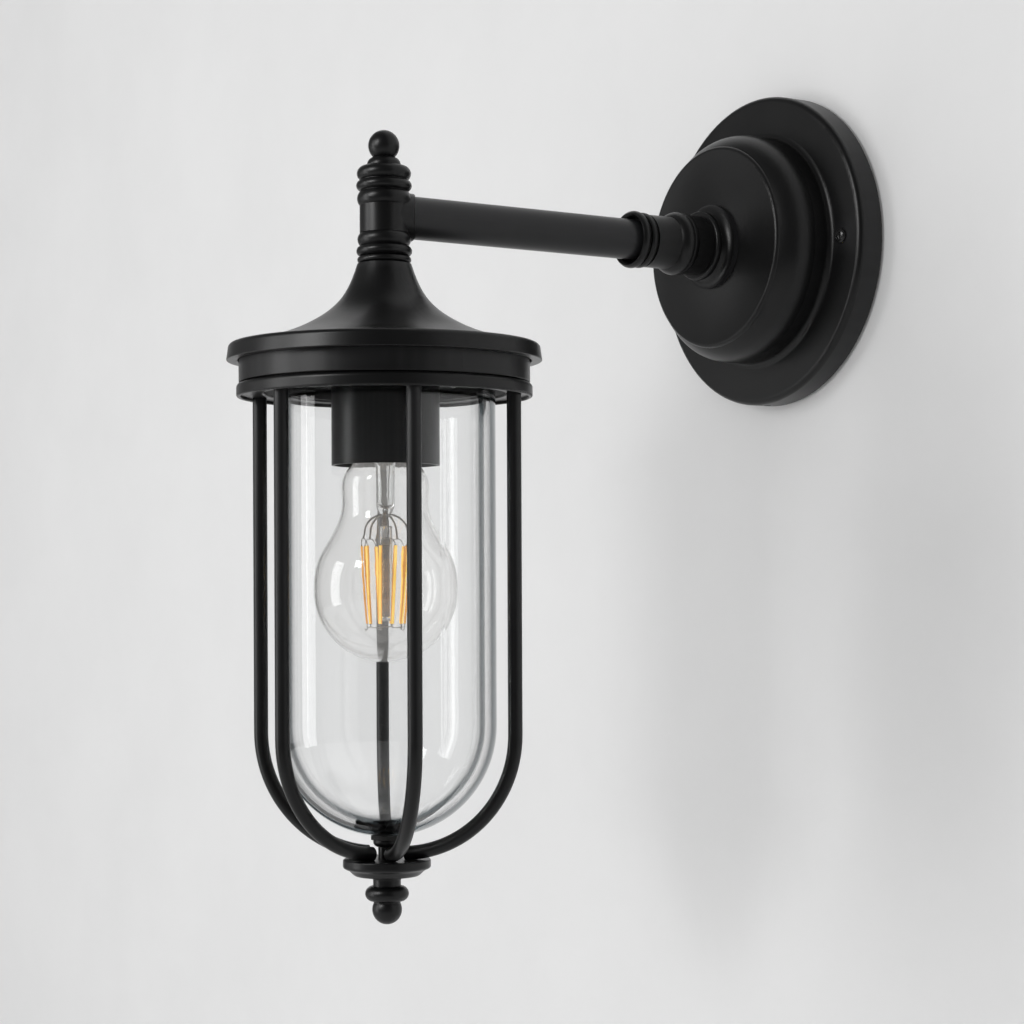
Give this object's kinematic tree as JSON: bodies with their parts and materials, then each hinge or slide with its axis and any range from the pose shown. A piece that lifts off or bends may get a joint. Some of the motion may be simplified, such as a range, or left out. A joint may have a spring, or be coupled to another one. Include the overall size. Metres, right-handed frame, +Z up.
{
  "type": "outdoor wall light",
  "caption": "Black wall lantern: round stepped canopy, straight arm, turned stem and bell cap over a clear glass cylinder in a cage of bent rods, with a filament bulb.",
  "frame": {"origin": "centre of the canopy's back on the wall, midway between the bracket's two box slots", "axes": "+Z up, +Y into the wall, so the arm and lantern stand out towards -Y"},
  "size_m": [0.1416, 0.2795, 0.3658],
  "materials": {
    "black_coat": "satin black powder coat",
    "black_screw": "gloss black",
    "zinc_steel": "zinc plated",
    "brass": "polished",
    "black_rubber": "matte",
    "white_ceramic": "glazed",
    "nickel_cap": "nickel plated",
    "nickel_wire": "drawn wire",
    "lantern_glass": "clear",
    "bulb_clear_glass": "clear",
    "stem_glass": "clear",
    "glowing_filament": "lit filament"
  },
  "bodies": {
    "fixture": {"wall_bracket": "zinc_steel", "ground_screw": "brass", "canopy_gasket": "black_rubber", "canopy": "black_coat", "canopy_screws": "black_screw", "arm_socket": "black_coat", "arm_nipple": "zinc_steel", "arm_washer": "zinc_steel", "arm_lock_nut": "zinc_steel", "arm_tube": "black_coat", "stem": "black_coat", "top_finial": "black_coat", "bell_cap": "black_coat", "fitter_pan": "black_coat", "lamp_nipple": "zinc_steel", "lamp_nut": "zinc_steel", "holder_cover": "black_coat", "holder_body": "white_ceramic", "holder_shell": "brass", "holder_contact": "brass"},
    "bulb": {"bulb_base": "nickel_cap", "bulb_glass": "bulb_clear_glass", "bulb_stem": "stem_glass", "bulb_filaments": "glowing_filament", "bulb_support_wires": "nickel_wire"},
    "cage": {"cage_ring": "black_coat", "cage_rod_1": "black_coat", "cage_rod_2": "black_coat", "cage_rod_3": "black_coat", "cage_rod_4": "black_coat", "cage_rod_5": "black_coat", "cage_hub": "black_coat", "glass_cylinder": "lantern_glass", "glass_gasket": "black_rubber", "glass_rest_post": "black_coat", "glass_rest_pad": "black_rubber", "bottom_finial": "black_coat"}
  },
  "joints": [
    {"name": "cage_drop", "type": "slide", "parent": "fixture", "child": "cage", "axis": [0, 0, -1], "range_m": [0, 0.16]},
    {"name": "bulb_draw", "type": "slide", "parent": "fixture", "child": "bulb", "axis": [0, 0, -1], "range_m": [0, 0.03]}
  ]
}
